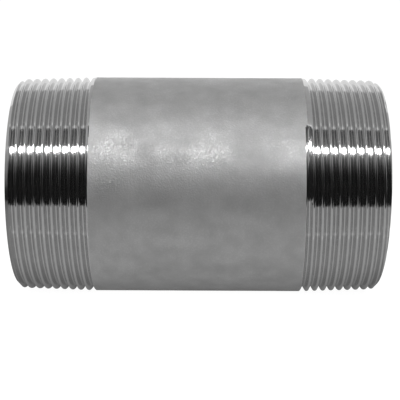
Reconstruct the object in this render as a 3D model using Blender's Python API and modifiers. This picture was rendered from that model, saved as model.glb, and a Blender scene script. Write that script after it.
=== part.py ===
"""Threaded pipe nipple: a short steel pipe with a right-hand taper pipe thread cut on each end.

The pipe lies along X with its middle at the origin. It is modelled as three solids that meet end to
end: the plain barrel and the two threaded ends. Each threaded end is modelled along its own +Z, from
its end face at z = 0 inwards, and is then turned to lie along X. Both ends are turned, not mirrored,
so both threads stay right-handed.
"""

import math

import bmesh
import bpy

# Pipe, in metres
OUTSIDE_DIAMETER = 0.0603  # DN 50 (2 inch) pipe
WALL = 0.00391  # schedule 40
LENGTH = 0.1016  # 4 inches over the two end faces

# Taper pipe thread R 2, in metres and radians
PITCH = 0.0254 / 11
THREAD_HEIGHT = 0.640327 * PITCH
FLANK_ANGLE = math.radians(27.5)  # half of the thread's included angle
ROOT_FLAT = PITCH / 6  # flat that stands for the rounded root
RADIAL_TAPER = 1 / 32  # radius gained along the thread: 1 in 16 on the diameter
GAUGE_LENGTH = 0.0159  # from the end face to the gauge plane
GAUGE_DIAMETER = 0.059614  # major diameter at the gauge plane

# Ends, in metres
FACE_RADIUS = 0.0279  # outer edge of the flat end face
OUTER_CHAMFER_LENGTH = 0.00125
INNER_CHAMFER = 0.0005
SKIN_START = 0.0222  # from the end face to where the thread's envelope meets the pipe's skin
JOIN_DISTANCE = 0.0228  # from the end face to the plane between a threaded end and the barrel
JOIN_GAP = 0.0003  # clearance between solids that meet face to face

# Where each thread's groove ends, from its own end face in metres, and its turns up to there. The
# first turns lie outside the pipe, and over the last ones, the run-out, the tool leaves the steel.
LEFT_GROOVE_END = 0.02194
LEFT_GROOVE_TURNS = 11.25
LEFT_RUN_OUT_TURNS = 0.25
RIGHT_GROOVE_END = 0.0225
RIGHT_GROOVE_TURNS = 11
RIGHT_RUN_OUT_TURNS = 0.6

SIDES = 40  # facets round the pipe
CUTTER_CLEARANCE = 0.0003  # how far the groove's cutter stands out above the crests
RUN_OUT_LIFT = 0.0018  # how far that cutter has risen where the groove ends
SHARP_ANGLE = math.radians(25)

OUTER_RADIUS = OUTSIDE_DIAMETER / 2
BORE_RADIUS = OUTER_RADIUS - WALL


def remove_everything():
    for obj in list(bpy.data.objects):
        bpy.data.objects.remove(obj, do_unlink=True)


def new_collection(name):
    collection = bpy.data.collections.new(name)
    bpy.context.scene.collection.children.link(collection)
    return collection


def steel(name, colour, roughness):
    """A bare steel finish."""
    material = bpy.data.materials.new(name)
    material.use_nodes = True
    shader = material.node_tree.nodes["Principled BSDF"]
    shader.inputs["Base Color"].default_value = (*colour, 1)
    shader.inputs["Metallic"].default_value = 1
    shader.inputs["Roughness"].default_value = roughness
    return material


def crest_radius(z):
    """Radius of the thread's crests at distance z from the end face."""
    return GAUGE_DIAMETER / 2 - (GAUGE_LENGTH - z) * RADIAL_TAPER


def outline_object(name, outline, collection):
    """An object that holds a closed outline of (radius, z) points in its XZ plane."""
    count = len(outline)
    mesh = bpy.data.meshes.new(name)
    mesh.from_pydata(
        [(radius, 0, z) for radius, z in outline],
        [(i, (i + 1) % count) for i in range(count)],
        [],
    )
    obj = bpy.data.objects.new(name, mesh)
    collection.objects.link(obj)
    return obj


def sweep(obj, turns, rise):
    """Sweeps the object's outline round Z by the given number of turns, rising by rise in all."""
    screw = obj.modifiers.new("sweep", "SCREW")
    screw.axis = "Z"
    screw.iterations = 1
    screw.angle = 2 * math.pi * turns
    screw.screw_offset = rise
    screw.steps = screw.render_steps = round(SIDES * turns)


def end_outline():
    """Half section of a threaded end before its groove is cut, from the outer side down the bore."""
    inner_end = JOIN_DISTANCE - JOIN_GAP / 2
    return [
        (OUTER_RADIUS, inner_end),
        (OUTER_RADIUS, SKIN_START),
        (crest_radius(SKIN_START), SKIN_START - (OUTER_RADIUS - crest_radius(SKIN_START))),
        (crest_radius(OUTER_CHAMFER_LENGTH), OUTER_CHAMFER_LENGTH),
        (FACE_RADIUS, 0),
        (BORE_RADIUS + INNER_CHAMFER, 0),
        (BORE_RADIUS, INNER_CHAMFER),
        (BORE_RADIUS, inner_end),
    ]


def groove_outline(z):
    """The groove's section, centred on z, at the crest radius that the thread has at its end face."""
    outer = crest_radius(0) + CUTTER_CLEARANCE
    root = crest_radius(0) - THREAD_HEIGHT
    half_root = ROOT_FLAT / 2
    half_mouth = half_root + (outer - root) * math.tan(FLANK_ANGLE)
    return [
        (outer, z + half_mouth),
        (root, z + half_root),
        (root, z - half_root),
        (outer, z - half_mouth),
    ]


def plain_mesh(obj):
    """Replaces an object's modifiers with the mesh that they make."""
    depsgraph = bpy.context.evaluated_depsgraph_get()
    mesh = bpy.data.meshes.new_from_object(obj.evaluated_get(depsgraph))
    obj.modifiers.clear()
    obj.data = mesh
    return mesh


def groove_cutter(name, end_z, turns, run_out_turns, collection):
    """A helical cutter whose groove ends at end_z, rising out of the steel over its last turns."""
    start_z = end_z - turns * PITCH
    outline = groove_outline(start_z)
    cutter = outline_object(name, outline, collection)
    sweep(cutter, turns, turns * PITCH)
    mesh = plain_mesh(cutter)
    bm = bmesh.new()
    bm.from_mesh(mesh)
    bmesh.ops.holes_fill(bm, edges=bm.edges, sides=len(outline))
    run_out_length = run_out_turns * PITCH
    for vertex in bm.verts:
        z = vertex.co.z
        risen = max(0, (z - (end_z - run_out_length)) / run_out_length)
        radius = math.hypot(vertex.co.x, vertex.co.y)
        scale = (radius + z * RADIAL_TAPER + risen * RUN_OUT_LIFT) / radius
        vertex.co.x *= scale
        vertex.co.y *= scale
    bmesh.ops.recalc_face_normals(bm, faces=bm.faces)
    bm.to_mesh(mesh)
    bm.free()
    cutter.hide_render = True
    cutter.display_type = "WIRE"
    return cutter


def finish(part, material):
    """Makes the part's modifiers into its mesh, shaded smooth between its sharp edges."""
    mesh = plain_mesh(part)
    mesh.shade_smooth()
    mesh.set_sharp_from_angle(angle=SHARP_ANGLE)
    mesh.materials.clear()
    mesh.materials.append(material)


def threaded_end(name, side, cutter, material, collection):
    """A threaded end turned to lie along X: side is -1 for the left end and +1 for the right."""
    end = outline_object(name, end_outline(), collection)
    sweep(end, 1, 0)
    cut = end.modifiers.new("thread", "BOOLEAN")
    cut.operation = "DIFFERENCE"
    cut.solver = "EXACT"
    cut.object = cutter
    for obj in (end, cutter):
        obj.location = (side * LENGTH / 2, 0, 0)
        obj.rotation_euler = (0, -side * math.pi / 2, 0)
    finish(end, material)


def plain_barrel(name, material, collection):
    """The pipe between the two threads."""
    half = LENGTH / 2 - JOIN_DISTANCE - JOIN_GAP / 2
    outline = [
        (OUTER_RADIUS, half),
        (OUTER_RADIUS, -half),
        (BORE_RADIUS, -half),
        (BORE_RADIUS, half),
    ]
    barrel = outline_object(name, outline, collection)
    sweep(barrel, 1, 0)
    barrel.rotation_euler = (0, math.pi / 2, 0)
    finish(barrel, material)


def build():
    remove_everything()
    parts = new_collection("threaded_pipe_nipple")
    cutters = new_collection("cutters")
    skin = steel("pickled_skin", (0.52, 0.52, 0.51), 0.42)
    cut = steel("cut_thread", (0.62, 0.62, 0.61), 0.2)

    plain_barrel("barrel", skin, parts)
    left_cutter = groove_cutter(
        "left_groove", LEFT_GROOVE_END, LEFT_GROOVE_TURNS, LEFT_RUN_OUT_TURNS, cutters
    )
    right_cutter = groove_cutter(
        "right_groove", RIGHT_GROOVE_END, RIGHT_GROOVE_TURNS, RIGHT_RUN_OUT_TURNS, cutters
    )
    threaded_end("threaded_end_left", -1, left_cutter, cut, parts)
    threaded_end("threaded_end_right", 1, right_cutter, cut, parts)


build()
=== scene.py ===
"""The looks of a threaded pipe nipple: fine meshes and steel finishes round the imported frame.

The pipe lies along X. Its three CAD nodes are replaced by three finer pieces: the plain barrel and the
two threaded ends. A threaded end is worked out along its own +Z, from its end face at z = 0 inwards,
and is then turned to lie along X.
"""

import math

import bmesh
import bpy
import numpy as np
from mathutils import Matrix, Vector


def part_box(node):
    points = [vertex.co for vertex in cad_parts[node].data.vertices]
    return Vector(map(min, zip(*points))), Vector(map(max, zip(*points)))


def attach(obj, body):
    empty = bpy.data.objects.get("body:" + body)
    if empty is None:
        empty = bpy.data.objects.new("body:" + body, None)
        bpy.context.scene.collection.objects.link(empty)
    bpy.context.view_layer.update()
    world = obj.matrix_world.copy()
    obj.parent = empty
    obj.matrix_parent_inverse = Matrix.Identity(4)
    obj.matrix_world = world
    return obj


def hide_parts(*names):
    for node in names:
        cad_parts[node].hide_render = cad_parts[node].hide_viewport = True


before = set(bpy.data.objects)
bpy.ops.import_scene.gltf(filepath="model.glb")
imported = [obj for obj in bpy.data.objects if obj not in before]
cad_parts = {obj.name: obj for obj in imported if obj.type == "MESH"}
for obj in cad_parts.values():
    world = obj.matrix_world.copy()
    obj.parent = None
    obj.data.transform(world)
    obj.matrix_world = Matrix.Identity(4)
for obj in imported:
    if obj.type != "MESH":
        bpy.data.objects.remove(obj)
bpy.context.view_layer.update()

MM = 0.001

# Taper pipe thread R 2, a little larger and shallower than the standard's
PITCH = 25.4 / 11 * MM
THREAD_HEIGHT = 1.34 * MM
FLANK_ANGLE = math.radians(27.5)
ROOT_ROUNDING = 0.36 * MM  # radius of the rounded roots
RADIAL_TAPER = 1 / 32  # radius gained along the thread: 1 in 16 on the diameter
GAUGE_LENGTH = 15.9 * MM  # from the end face to the gauge plane
OVERSIZE = 0.19 * MM  # how far the crests stand out past their nominal radius
GAUGE_RADIUS = 59.614 / 2 * MM + OVERSIZE  # of the crests at the gauge plane
CREST_WANDER = 0.012 * MM  # unevenness of the crests
ROOT_SHARE = 0.3  # how much of that unevenness the roots have

# Half width between two flanks at the height of the crest, and the crest's radius that fits between them
HALF_CREST = (
    PITCH / 2
    - ROOT_ROUNDING * math.cos(FLANK_ANGLE)
    - (THREAD_HEIGHT - ROOT_ROUNDING * (1 - math.sin(FLANK_ANGLE))) * math.tan(FLANK_ANGLE)
)
CREST_ROUNDING = HALF_CREST * math.cos(FLANK_ANGLE) / (1 - math.sin(FLANK_ANGLE))

# Shape of the ends
OUTER_CHAMFER = 1.3 * MM
INNER_CHAMFER = 0.5 * MM
RUN_OUT_LIFT = 1.8 * MM  # how far the groove's bottom has risen where the groove ends
CLOSING_TURNS = 0.03  # over which the last trace of the groove closes
NICK_LENGTH = 0.4 * MM  # half length of a nick along the pipe

# The band beside the last groove, where the die has only skimmed the skin: its slope, and how far from
# the groove it reaches, at least and just after the groove's end
SKIM_SLOPE = 0.15
SKIM_REACH = (0.9 * MM, 2.25 * MM)
CORNER_BLEND = 0.3 * MM  # rounding where that band meets the groove

# The barrel's skin
SKIN_WANDER = 0.006 * MM  # unevenness of the skin
SKIN_FADE = 2 * MM  # distance from the joins over which that unevenness fades out
SKIN_TOLERANCE = 0.004 * MM  # a threaded end's surface this near to the pipe's radius is uncut skin

# Each end, with angles in turns round its own axis:
# side           which way it points along X
# groove_end     distance from the nominal end face to where the groove ends
# end_turn       the angle there
# run_out_turns  the turns over which the groove runs out
# skim_fade      the turns over which the skimmed band narrows
# cut_back       how far the end face is cut back: on average, how much that swings round the pipe,
#                and the angle where it is cut back most
# nicks          in the rim: angle, distance along the pipe, half width in turns, radial depth
ENDS = {
    "left": dict(
        side=-1,
        groove_end=21.94 * MM,
        end_turn=0.25,
        run_out_turns=0.25,
        skim_fade=0.5,
        cut_back=(0.57 * MM, 0.17 * MM, 0.0),
        nicks=[],
    ),
    "right": dict(
        side=1,
        groove_end=22.13 * MM,
        end_turn=0.84,
        run_out_turns=0.14,
        skim_fade=0.25,
        cut_back=(0.7 * MM, 0.4 * MM, 0.35),
        nicks=[
            (0.885, 0.3 * MM, 0.012, 0.35 * MM),
            (0.825, 0.2 * MM, 0.006, 0.3 * MM),
            (0.79, 1.6 * MM, 0.005, 0.06 * MM),
            (0.68, 0.2 * MM, 0.005, 0.25 * MM),
            (0.64, 0.2 * MM, 0.005, 0.25 * MM),
        ],
    ),
}

CUT, SKIN, BORE, FACE = range(4)  # material slots of the pieces

# Mesh detail
COLUMNS = 288  # round the pipe
ARC_STEPS = 8  # over a rounded crest or root
FLANK_STEPS = 3
BARREL_ROWS = 96
SHARP_ANGLE = math.radians(30)


def pipe_sizes():
    """Half length, outer radius, bore radius and the two joins' distance from the middle, from the CAD."""
    low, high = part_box("barrel")
    half_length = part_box("threaded_end_right")[1].x
    join = (high.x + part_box("threaded_end_right")[0].x) / 2
    outer = high.z
    bore = min(math.hypot(v.co.y, v.co.z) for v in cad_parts["barrel"].data.vertices)
    return half_length, outer, bore, join


HALF_LENGTH, OUTER_RADIUS, BORE_RADIUS, JOIN = pipe_sizes()
END_LENGTH = HALF_LENGTH - JOIN


# ---------------------------------------------------------------- shapes

def ripple(angle, along, seed, waves=9):
    """A smooth bumpy function of angle and distance, between about -1 and 1, that closes round the pipe."""
    rng = np.random.default_rng(seed)
    total = np.zeros_like(angle)
    for _ in range(waves):
        around = rng.integers(-7, 8)
        rate = rng.uniform(-0.9, 0.9) / MM
        total += np.sin(around * angle + rate * along + rng.uniform(0, 2 * math.pi))
    return total / math.sqrt(waves)


def crest_radius(z):
    """Radius of the thread's crests at distance z from the end face."""
    return GAUGE_RADIUS - (GAUGE_LENGTH - z) * RADIAL_TAPER


def wave(turn, mean, swing, peak):
    """A value that swings once round the pipe, and is largest at the turn peak."""
    return mean + swing * np.cos(2 * math.pi * (turn - peak))


def smooth_min(first, second, blend):
    """The smaller of two radii, rounded over where they are about equal."""
    part = np.clip(0.5 + 0.5 * (second - first) / blend, 0, 1)
    return second + (first - second) * part - blend * part * (1 - part)


def groove_side(distance, root):
    """Radius of a groove's wall at an axial distance from its middle: a rounded root, then a flank."""
    tangent = ROOT_ROUNDING * math.cos(FLANK_ANGLE)
    arc = root + ROOT_ROUNDING - np.sqrt(np.maximum(ROOT_ROUNDING**2 - distance**2, 0))
    flank_start = root + ROOT_ROUNDING * (1 - math.sin(FLANK_ANGLE))
    flank = flank_start + (distance - tangent) / math.tan(FLANK_ANGLE)
    return np.where(distance < tangent, arc, flank)


def grooved_radius(angle, z, turns_before_end, end):
    """Radius of the thread, where its groove ends the given number of turns further on."""
    last_middle = end["groove_end"] - PITCH * turns_before_end
    index = np.maximum(np.round((last_middle - z) / PITCH), 0)
    middle = last_middle - index * PITCH
    turns_left = turns_before_end + index
    lift = RUN_OUT_LIFT * np.clip(1 - turns_left / end["run_out_turns"], 0, 1)
    wander = CREST_WANDER * ripple(angle, z, seed=3)
    root = crest_radius(middle) - THREAD_HEIGHT + lift + ROOT_SHARE * wander
    offset = z - middle
    distance = np.abs(offset)
    wall = groove_side(distance, root)
    from_crest = np.clip(PITCH / 2 - distance, -CREST_ROUNDING, CREST_ROUNDING)
    crest = crest_radius(z) - CREST_ROUNDING + np.sqrt(CREST_ROUNDING**2 - from_crest**2)
    crest = np.minimum(crest + wander, OUTER_RADIUS)
    least, most = SKIM_REACH
    fading = np.exp(-(((1 - np.minimum(turns_before_end, 1)) / end["skim_fade"]) ** 2))
    reach = least + (most - least) * fading
    skimmed = OUTER_RADIUS - SKIM_SLOPE * np.maximum(reach - distance, 0)
    past_thread = (index == 0) & (offset > 0)
    crest = np.where(past_thread, smooth_min(skimmed, wall, CORNER_BLEND), crest)
    return np.minimum(wall, crest)


def thread_radius(angle, z, end):
    """Radius of a threaded end's outer surface: the thread, the outer chamfer and the nicks."""
    turn = angle / (2 * math.pi)
    turns_before_end = (end["end_turn"] - turn) % 1
    with_groove = grooved_radius(angle, z, turns_before_end, end)
    past_groove = grooved_radius(angle, z, turns_before_end + 1, end)
    closing = np.exp(-((turns_before_end / CLOSING_TURNS) ** 2))
    surface = with_groove + (past_groove - with_groove) * closing
    depth = z - wave(turn, *end["cut_back"])
    chamfer = crest_radius(OUTER_CHAMFER) - OUTER_CHAMFER + depth
    surface = np.minimum(surface, chamfer)
    for nick_turn, nick_distance, half_width, nick_depth in end["nicks"]:
        across = (turn - nick_turn) / half_width
        along = (depth - nick_distance) / NICK_LENGTH
        surface = surface - nick_depth * np.exp(-(across**2) - along**2)
    return surface


def profile_steps():
    """Where to put rows of vertices over one pitch, as fractions of it, from a root's middle."""
    reach = math.pi / 2 - FLANK_ANGLE
    turns = [math.sin(reach * i / (ARC_STEPS / 2)) for i in range(ARC_STEPS // 2 + 1)]
    root = [ROOT_ROUNDING / PITCH * turn for turn in turns]
    crest = [0.5 - CREST_ROUNDING / PITCH * turn for turn in reversed(turns)]
    start, stop = root[-1], crest[0]
    flank = [start + (stop - start) * i / FLANK_STEPS for i in range(1, FLANK_STEPS)]
    rising = root + flank + crest
    falling = [1 - step for step in reversed(rising[1:-1])]
    return rising + falling


def helical_grid(start, stop, first_root):
    """A tube of quads of radius 1 round Z whose rows run along a right-hand helix of one pitch."""
    steps = profile_steps()
    first_turn = math.floor((start - first_root) / PITCH) - 1
    last_turn = math.ceil((stop - first_root) / PITCH) + 1
    levels = np.array(
        [
            first_root + (turn + step) * PITCH
            for turn in range(first_turn, last_turn)
            for step in steps
        ]
    )
    rows = len(levels)
    angles = 2 * math.pi * np.arange(COLUMNS) / COLUMNS
    z = levels[None, :] + PITCH * np.arange(COLUMNS)[:, None] / COLUMNS
    points = np.stack(
        [
            np.broadcast_to(np.cos(angles)[:, None], z.shape),
            np.broadcast_to(np.sin(angles)[:, None], z.shape),
            z,
        ],
        axis=-1,
    ).reshape(-1, 3)
    faces = []
    for column in range(COLUMNS):
        # The last column meets the first one a whole pitch further up
        last = column == COLUMNS - 1
        shift = len(steps) if last else 0
        here = column * rows
        there = shift if last else here + rows
        for row in range(rows - 1 - shift):
            faces.append((here + row, there + row, there + row + 1, here + row + 1))
    return points, faces


def cut_tube(bm, z, swing=0.0, peak=0.0, keep_above=None):
    """Cuts the tube of radius 1 at a plane that swings round it as an end face does.

    What lies below the plane is thrown away if keep_above is True, and what lies above it if False.
    """
    everything = bm.verts[:] + bm.edges[:] + bm.faces[:]
    heading = 2 * math.pi * peak
    bmesh.ops.bisect_plane(
        bm,
        geom=everything,
        dist=1e-7,
        plane_co=(0, 0, z),
        plane_no=(-swing * math.cos(heading), -swing * math.sin(heading), 1),
        clear_inner=keep_above is True,
        clear_outer=keep_above is False,
    )


def open_edges(bm, low, high):
    """The open edges between two levels, on the outer surface and on the bore."""
    return [
        edge
        for edge in bm.edges
        if edge.is_boundary and all(low < vertex.co.z < high for vertex in edge.verts)
    ]


def ring(bm, radius, z, swing=0.0, peak=0.0):
    """New vertices round Z at a level that swings round the pipe as an end face does."""
    turns = np.arange(COLUMNS) / COLUMNS
    levels = wave(turns, z, swing * radius / OUTER_RADIUS, peak)
    return [
        bm.verts.new((radius * math.cos(2 * math.pi * t), radius * math.sin(2 * math.pi * t), level))
        for t, level in zip(turns, levels)
    ]


def join_rings(bm, first, second, material):
    """A band of faces between two rings."""
    count = len(first)
    for i in range(count):
        j = (i + 1) % count
        face = bm.faces.new((first[i], first[j], second[j], second[i]))
        face.material_index = material


def shape_thread(bm, end):
    """Cuts a tube of radius 1 to length and gives it the thread's shape and materials."""
    cut_back, swing, peak = end["cut_back"]
    cut_tube(bm, cut_back, swing, peak, keep_above=True)
    cut_tube(bm, cut_back + OUTER_CHAMFER, swing, peak)
    cut_tube(bm, END_LENGTH, keep_above=False)
    co = np.array([vertex.co for vertex in bm.verts])
    angle = np.arctan2(co[:, 1], co[:, 0]) % (2 * math.pi)
    radius = thread_radius(angle, co[:, 2], end)
    for vertex, a, r in zip(bm.verts, angle, radius):
        vertex.co.x = r * math.cos(a)
        vertex.co.y = r * math.sin(a)
    for face in bm.faces:
        centre = face.calc_center_median()
        on_skin = math.hypot(centre.x, centre.y) > OUTER_RADIUS - SKIN_TOLERANCE
        face.material_index = SKIN if on_skin else CUT


def add_bore(bm, end):
    """Adds the inner chamfer and the bore, then closes the end face and the join's face round them."""
    cut_back, swing, peak = end["cut_back"]
    mouth = ring(bm, BORE_RADIUS + INNER_CHAMFER, cut_back, swing, peak)
    throat = ring(bm, BORE_RADIUS, cut_back + INNER_CHAMFER, swing, peak)
    inner = ring(bm, BORE_RADIUS, END_LENGTH)
    join_rings(bm, mouth, throat, FACE)
    join_rings(bm, throat, inner, BORE)
    half_way = END_LENGTH / 2
    for low, high, slot in ((-END_LENGTH, half_way, FACE), (half_way, 2 * END_LENGTH, CUT)):
        made = bmesh.ops.triangle_fill(bm, edges=open_edges(bm, low, high), use_beauty=True)
        for item in made["geom"]:
            if isinstance(item, bmesh.types.BMFace):
                item.material_index = slot


def threaded_end(name, end):
    """One threaded end as a closed solid."""
    root_at_start = end["groove_end"] - PITCH * end["end_turn"]
    points, faces = helical_grid(0, END_LENGTH, root_at_start)
    mesh = bpy.data.meshes.new(name)
    mesh.from_pydata(points.tolist(), [], faces)
    bm = bmesh.new()
    bm.from_mesh(mesh)
    shape_thread(bm, end)
    add_bore(bm, end)
    bmesh.ops.recalc_face_normals(bm, faces=bm.faces)
    turn = Matrix.Rotation(-end["side"] * math.pi / 2, 4, "Y")
    bm.transform(Matrix.Translation((end["side"] * HALF_LENGTH, 0, 0)) @ turn)
    return piece_from(bm, mesh, name)


def barrel(name):
    """The pipe between the threads, with the faint unevenness of drawn and pickled pipe."""
    mesh = bpy.data.meshes.new(name)
    bm = bmesh.new()
    levels = [-JOIN + 2 * JOIN * i / BARREL_ROWS for i in range(BARREL_ROWS + 1)]
    angles = 2 * math.pi * np.arange(COLUMNS) / COLUMNS
    rings = []
    for level in levels:
        fade = min(1, (JOIN - abs(level)) / SKIN_FADE)
        depth = SKIN_WANDER * fade * (1 + ripple(angles, np.full(COLUMNS, level), seed=8))
        rings.append(
            [
                bm.verts.new(((OUTER_RADIUS - d) * math.cos(a), (OUTER_RADIUS - d) * math.sin(a), level))
                for a, d in zip(angles, np.maximum(depth, 0))
            ]
        )
    for lower, upper in zip(rings, rings[1:]):
        join_rings(bm, lower, upper, SKIN)
    inner = [ring(bm, BORE_RADIUS, level) for level in (-JOIN, JOIN)]
    join_rings(bm, inner[1], inner[0], BORE)
    join_rings(bm, inner[0], rings[0], CUT)
    join_rings(bm, rings[-1], inner[1], CUT)
    bmesh.ops.recalc_face_normals(bm, faces=bm.faces)
    bm.transform(Matrix.Rotation(math.pi / 2, 4, "Y"))
    return piece_from(bm, mesh, name)


def piece_from(bm, mesh, name):
    """An object with this mesh, shaded smooth between its sharp edges."""
    bm.to_mesh(mesh)
    bm.free()
    mesh.shade_smooth()
    mesh.set_sharp_from_angle(angle=SHARP_ANGLE)
    piece = bpy.data.objects.new(name, mesh)
    bpy.context.scene.collection.objects.link(piece)
    return piece


# ---------------------------------------------------------------- finishes

def new_material(name):
    """A metal, with its node tree and its shader."""
    material = bpy.data.materials.new(name)
    material.use_nodes = True
    shader = material.node_tree.nodes["Principled BSDF"]
    shader.inputs["Metallic"].default_value = 1
    return material, material.node_tree, shader


def add(tree, kind, **settings):
    """A new node with these settings."""
    node = tree.nodes.new(kind)
    for key, value in settings.items():
        setattr(node, key, value)
    return node


def noise(tree, vector, scale, detail=2.0, roughness=0.5):
    """Noise between 0 and 1, with the given number of lumps in a metre."""
    node = add(tree, "ShaderNodeTexNoise")
    node.inputs["Scale"].default_value = scale
    node.inputs["Detail"].default_value = detail
    node.inputs["Roughness"].default_value = roughness
    tree.links.new(vector, node.inputs["Vector"])
    return node.outputs["Fac"]


def stretched(tree, scale):
    """Object coordinates scaled along each axis."""
    coordinates = add(tree, "ShaderNodeTexCoord")
    mapping = add(tree, "ShaderNodeMapping")
    mapping.inputs["Scale"].default_value = scale
    tree.links.new(coordinates.outputs["Object"], mapping.inputs["Vector"])
    return mapping.outputs["Vector"]


def map_range(tree, value, low, high, to_low, to_high):
    """The value with low to high stretched over to_low to to_high, and held there beyond them."""
    node = add(tree, "ShaderNodeMapRange")
    node.inputs["From Min"].default_value = low
    node.inputs["From Max"].default_value = high
    node.inputs["To Min"].default_value = to_low
    node.inputs["To Max"].default_value = to_high
    tree.links.new(value, node.inputs["Value"])
    return node.outputs["Result"]


def ramp(tree, value, stops):
    """A grey that follows the value along (position, grey) stops."""
    node = add(tree, "ShaderNodeValToRGB")
    elements = node.color_ramp.elements
    for element, (position, grey) in zip(elements, stops):
        element.position = position
        element.color = (grey, grey, grey, 1)
    tree.links.new(value, node.inputs["Fac"])
    return node.outputs["Color"]


def bump(tree, height, strength, distance):
    """A normal tilted by a height map, whose full height is the distance in metres."""
    node = add(tree, "ShaderNodeBump")
    node.inputs["Strength"].default_value = strength
    node.inputs["Distance"].default_value = distance
    tree.links.new(height, node.inputs["Height"])
    return node.outputs["Normal"]


def skin_material():
    """Pickled pipe skin: matt grey steel, cloudy, with fine bright grains."""
    material, tree, shader = new_material("pipe_skin")
    plain = stretched(tree, (1, 1, 1))
    clouds = noise(tree, plain, 220, detail=3)
    patches = noise(tree, plain, 110, detail=2)
    grains = noise(tree, plain, 2300, detail=2, roughness=0.6)
    tree.links.new(ramp(tree, clouds, [(0.3, 0.52), (0.7, 0.59)]), shader.inputs["Base Color"])
    bright = add(tree, "ShaderNodeMath", operation="MULTIPLY")
    tree.links.new(map_range(tree, grains, 0.5, 0.68, 0.0, 1.0), bright.inputs[0])
    tree.links.new(map_range(tree, patches, 0.4, 0.6, 0.1, 0.27), bright.inputs[1])
    roughness = add(tree, "ShaderNodeMath", operation="SUBTRACT")
    tree.links.new(map_range(tree, patches, 0.35, 0.65, 0.67, 0.6), roughness.inputs[0])
    tree.links.new(bright.outputs["Value"], roughness.inputs[1])
    tree.links.new(roughness.outputs["Value"], shader.inputs["Roughness"])
    tree.links.new(bump(tree, grains, 1.0, 0.00007), shader.inputs["Normal"])
    return material


def cut_material():
    """Freshly cut thread: bright steel with fine tool marks along the groove."""
    material, tree, shader = new_material("cut_thread")
    marks = noise(tree, stretched(tree, (1, 0.02, 0.02)), 9000, detail=2)
    patches = noise(tree, stretched(tree, (1, 1, 1)), 500, detail=3)
    tree.links.new(ramp(tree, patches, [(0.3, 0.56), (0.7, 0.6)]), shader.inputs["Base Color"])
    tree.links.new(map_range(tree, patches, 0.3, 0.7, 0.06, 0.1), shader.inputs["Roughness"])
    tree.links.new(bump(tree, marks, 0.1, 0.00001), shader.inputs["Normal"])
    return material


def bore_material():
    """Inside of the pipe: the same pickled skin with faint streaks along the pipe."""
    material, tree, shader = new_material("bore_skin")
    streaks = noise(tree, stretched(tree, (0.08, 1, 1)), 900, detail=3)
    tree.links.new(ramp(tree, streaks, [(0.3, 0.42), (0.7, 0.5)]), shader.inputs["Base Color"])
    tree.links.new(map_range(tree, streaks, 0.3, 0.7, 0.5, 0.4), shader.inputs["Roughness"])
    tree.links.new(bump(tree, streaks, 0.2, 0.00003), shader.inputs["Normal"])
    return material


def face_material():
    """Faced end: turned steel with concentric tool marks."""
    material, tree, shader = new_material("faced_end")
    coordinates = add(tree, "ShaderNodeTexCoord")
    split = add(tree, "ShaderNodeSeparateXYZ")
    tree.links.new(coordinates.outputs["Object"], split.inputs["Vector"])
    flat = add(tree, "ShaderNodeCombineXYZ")
    tree.links.new(split.outputs["Y"], flat.inputs["X"])
    tree.links.new(split.outputs["Z"], flat.inputs["Y"])
    length = add(tree, "ShaderNodeVectorMath", operation="LENGTH")
    tree.links.new(flat.outputs["Vector"], length.inputs[0])
    radial = add(tree, "ShaderNodeCombineXYZ")
    tree.links.new(length.outputs["Value"], radial.inputs["X"])
    marks = noise(tree, radial.outputs["Vector"], 9000, detail=2)
    tree.links.new(ramp(tree, marks, [(0.3, 0.55), (0.7, 0.62)]), shader.inputs["Base Color"])
    tree.links.new(map_range(tree, marks, 0.3, 0.7, 0.3, 0.24), shader.inputs["Roughness"])
    tree.links.new(bump(tree, marks, 0.3, 0.00002), shader.inputs["Normal"])
    return material


# ---------------------------------------------------------------- studio

# What the pipe sees in its reflections. The surroundings go up round the pipe's axis from straight ahead
# (0 degrees) over the top (90) to the back (180); each card is a list of (degrees, radiance). The lamp is
# a box in front of them: a glow below it, a diffuser, a dark housing and a bright rim, all much shorter
# than the room. The backdrop stands between the lamp and the room's back.
SURROUNDINGS = {
    "dark_front": [(-24, 0.018), (8, 0.018), (13, 0.025), (19, 0.06), (24, 0.12), (29, 0.26), (34, 0.5)],
    "above": [(34, 0.5), (66, 0.52), (80, 0.46), (100, 0.47), (130, 0.55)],
    "behind": [(130, 0.55), (150, 0.55), (165, 0.5), (190, 0.3)],
}
BACKDROP = [(130, 1.0), (150, 1.0), (165, 0.85), (190, 0.8)]
LAMP = {
    "glow": [(30, 0.5), (34, 1.0)],
    "diffuser": [(34, 16.0), (39.8, 16.0)],
    "housing": [(39.8, 0.35), (44, 0.22), (50, 0.14), (62.5, 0.08)],
    "rim": [(62.5, 1.2), (66, 0.9)],
}
# The walls at the room's ends, as (degrees, radiance) along their rims, and the radiance at their middles
END_WALL = [
    (-180, 0.1),
    (-130, 0.1),
    (-90, 0.06),
    (-15, 0.04),
    (5, 0.04),
    (20, 0.1),
    (35, 0.4),
    (60, 0.5),
    (90, 0.5),
    (126, 0.5),
    (150, 0.4),
    (180, 0.1),
]
END_WALL_MIDDLE = 0.12
# The table in front of and behind the pipe, as a card that glows as the lit table would: (distance in
# metres, radiance). Its glow falls off towards where the pipe rests and stays low behind it: painted
# contact shadow.
TABLE_GLOW_WITH_PAINTED_SHADOW = [
    (-0.0835, 0.47),
    (-0.07, 0.48),
    (-0.045, 0.5),
    (-0.038, 0.5),
    (-0.0365, 0.8),
    (-0.035, 0.5),
    (-0.018, 0.47),
    # painted contact shadow of the pipe: the glow drops towards where the pipe rests
    (-0.006, 0.25),
    (0.005, 0.13),
    (0.5, 0.13),
]
TABLE_HALF_LENGTH = 0.22
TABLE_STEPS = 12  # strips between two of those distances
ROOM_RADIUS = 0.5
ROOM_HALF_LENGTH = 1.3
LAMP_RADIUS = 0.46
LAMP_HALF_LENGTH = 0.18
BACKDROP_RADIUS = 0.48
BACKDROP_HALF_LENGTH = 0.45
STRIP_DEGREES = 3  # width of the strips in the curved cards
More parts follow.
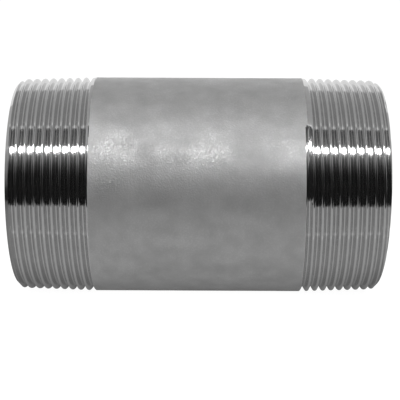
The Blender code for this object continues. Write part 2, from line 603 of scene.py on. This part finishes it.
# What lies round the table, a little lower
AROUND_TABLE = [(-ROOM_RADIUS, 0.018), (0, 0.018), (ROOM_RADIUS, 0.2)]
AROUND_TABLE_DROP = 0.2 * MM

# What the camera sees: the floor, lit a little from beneath so that shadows on it stay faint
FLOOR_GREY = 0.12
FLOOR_GLOW = 0.97
FLOOR_HALF_SIZE = 3
FLOOR_GAP = 0.05 * MM  # between the pipe and the floor
WORLD_GLOW = 1.05


def floor_material(name):
    material = bpy.data.materials.new(name)
    material.use_nodes = True
    shader = material.node_tree.nodes["Principled BSDF"]
    shader.inputs["Base Color"].default_value = (FLOOR_GREY, FLOOR_GREY, FLOOR_GREY, 1)
    shader.inputs["Roughness"].default_value = 1
    shader.inputs["Specular IOR Level"].default_value = 0
    shader.inputs["Emission Color"].default_value = (1, 1, 1, 1)
    shader.inputs["Emission Strength"].default_value = FLOOR_GLOW
    return material


def glowing(name):
    """Glows with the radiance stored in the card's own "glow" attribute."""
    material = bpy.data.materials.new(name)
    material.use_nodes = True
    tree = material.node_tree
    tree.nodes.remove(tree.nodes["Principled BSDF"])
    emission = add(tree, "ShaderNodeEmission")
    glow = add(tree, "ShaderNodeAttribute", attribute_name="glow")
    tree.links.new(glow.outputs["Fac"], emission.inputs["Strength"])
    tree.links.new(emission.outputs["Emission"], tree.nodes["Material Output"].inputs["Surface"])
    return material


def only_in_reflections(obj):
    """Hides an object from everything but the rays that bounce off shiny surfaces."""
    obj.visible_camera = False
    obj.visible_diffuse = False
    obj.visible_transmission = False
    obj.visible_volume_scatter = False
    obj.visible_shadow = False


def card_object(name, points, faces, glow, material):
    """A card seen only in reflections, with a glow for each of its points."""
    mesh = bpy.data.meshes.new(name)
    mesh.from_pydata(points, [], faces)
    attribute = mesh.attributes.new("glow", "FLOAT", "POINT")
    for item, value in zip(attribute.data, glow):
        item.value = value
    mesh.materials.append(material)
    card = bpy.data.objects.new(name, mesh)
    bpy.context.scene.collection.objects.link(card)
    only_in_reflections(card)


def strips(stops, counts, edge_points):
    """Points, faces and glow of strips along (place, radiance) stops.

    Between two stops there are as many strips as counts says, and edge_points gives the two ends of the
    line across them at a place.
    """
    points, faces, glow = [], [], []
    for (low, start), (high, stop), count in zip(stops, stops[1:], counts):
        for i in range(count + 1):
            part = i / count
            points += edge_points(low + (high - low) * part)
            glow += [start + (stop - start) * part] * 2
            if i:
                last = len(points)
                faces.append((last - 4, last - 3, last - 1, last - 2))
    return points, faces, glow


def curved_card(name, stops, radius, half_length, material):
    """A card bent round the pipe's axis, whose glow follows the stops."""

    def edge_points(degrees):
        angle = math.radians(degrees)
        y, z = -radius * math.cos(angle), radius * math.sin(angle)
        return [(-half_length, y, z), (half_length, y, z)]

    spans = [high - low for (low, _), (high, _) in zip(stops, stops[1:])]
    counts = [max(1, round(span / STRIP_DEGREES)) for span in spans]
    card_object(name, *strips(stops, counts, edge_points), material)


def end_card(name, x, material):
    """The wall at one end of the room: a fan round its middle."""
    angles, glow = zip(*END_WALL)
    points = [(x, 0, 0)] + [
        (x, -ROOM_RADIUS * math.cos(math.radians(a)), ROOM_RADIUS * math.sin(math.radians(a)))
        for a in angles
    ]
    faces = [(0, i, i + 1) for i in range(1, len(angles))]
    card_object(name, points, faces, [END_WALL_MIDDLE, *glow], material)


def table_card(name, stops, half_length, z, material, rounded=False):
    """A level card whose glow follows the stops from front to back; its front can be rounded."""
    front = stops[0][0]

    def edge_points(y):
        narrowing = math.sqrt(max(0.0, 1 - (y / front) ** 2)) if rounded and y < 0 else 1
        return [(-half_length * narrowing, y, z), (half_length * narrowing, y, z)]

    counts = [TABLE_STEPS] * (len(stops) - 1)
    card_object(name, *strips(stops, counts, edge_points), material)


def floor_slab(name, z):
    """The floor that the camera sees; the pipe's reflections show the table cards instead."""
    size = FLOOR_HALF_SIZE
    corners = [(-size, -size, z), (size, -size, z), (size, size, z), (-size, size, z)]
    mesh = bpy.data.meshes.new(name)
    mesh.from_pydata(corners, [], [(0, 1, 2, 3)])
    mesh.materials.append(floor_material(name))
    floor = bpy.data.objects.new(name, mesh)
    bpy.context.scene.collection.objects.link(floor)
    floor.visible_glossy = False


def studio():
    """The white world, the floor and the cards."""
    world = bpy.data.worlds.new("white_backdrop")
    world.use_nodes = True
    world.node_tree.nodes["Background"].inputs["Color"].default_value = (1, 1, 1, 1)
    world.node_tree.nodes["Background"].inputs["Strength"].default_value = WORLD_GLOW
    bpy.context.scene.world = world
    bpy.context.scene.view_settings.view_transform = "Standard"

    bottom = -OUTER_RADIUS - FLOOR_GAP
    floor_slab("floor", bottom)
    card = glowing("studio_card")
    # the table card's glow is darker where the pipe rests: painted contact shadow
    table_card("table", TABLE_GLOW_WITH_PAINTED_SHADOW, TABLE_HALF_LENGTH, bottom, card, rounded=True)
    table_card("around_table", AROUND_TABLE, ROOM_HALF_LENGTH, bottom - AROUND_TABLE_DROP, card)
    for name, stops in SURROUNDINGS.items():
        curved_card(name, stops, ROOM_RADIUS, ROOM_HALF_LENGTH, card)
    curved_card("backdrop", BACKDROP, BACKDROP_RADIUS, BACKDROP_HALF_LENGTH, card)
    for name, stops in LAMP.items():
        curved_card(name, stops, LAMP_RADIUS, LAMP_HALF_LENGTH, card)
    end_card("left_card", -ROOM_HALF_LENGTH, card)
    end_card("right_card", ROOM_HALF_LENGTH, card)


# The camera looks along +Y from a little to the right of the pipe's middle. PIPE_OFFSET is where the pipe's
# middle sits in the picture, from the picture's own middle, in picture widths.
CAMERA_DISTANCE = 320 * MM
CAMERA_ASIDE = 1.2 * MM
SENSOR_WIDTH = 36.0
LENS = 101.205
PIPE_OFFSET = (-0.004, 0.039375)
ROLL = math.radians(0.27)


def camera():
    data = bpy.data.cameras.new("camera")
    data.sensor_width = SENSOR_WIDTH
    data.lens = LENS
    data.clip_start = 0.01
    data.shift_x = -PIPE_OFFSET[0] - CAMERA_ASIDE / CAMERA_DISTANCE * LENS / SENSOR_WIDTH
    data.shift_y = -PIPE_OFFSET[1]
    obj = bpy.data.objects.new("camera", data)
    bpy.context.scene.collection.objects.link(obj)
    obj.matrix_world = (
        Matrix.Translation((CAMERA_ASIDE, -CAMERA_DISTANCE, 0))
        @ Matrix.Rotation(math.pi / 2, 4, "X")
        @ Matrix.Rotation(ROLL, 4, "Z")
    )
    bpy.context.scene.camera = obj


# ---------------------------------------------------------------- build

camera()
studio()
materials = [cut_material(), skin_material(), bore_material(), face_material()]
pieces = {
    "barrel_pipe": ("barrel", "pickled_skin", barrel("barrel_pipe")),
    "thread_left": ("threaded_end_left", "cut_thread", threaded_end("thread_left", ENDS["left"])),
    "thread_right": ("threaded_end_right", "cut_thread", threaded_end("thread_right", ENDS["right"])),
}
for name, (node, slot, piece) in pieces.items():
    for material in materials:
        piece.data.materials.append(material)
    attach(piece, "root")
    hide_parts(node)
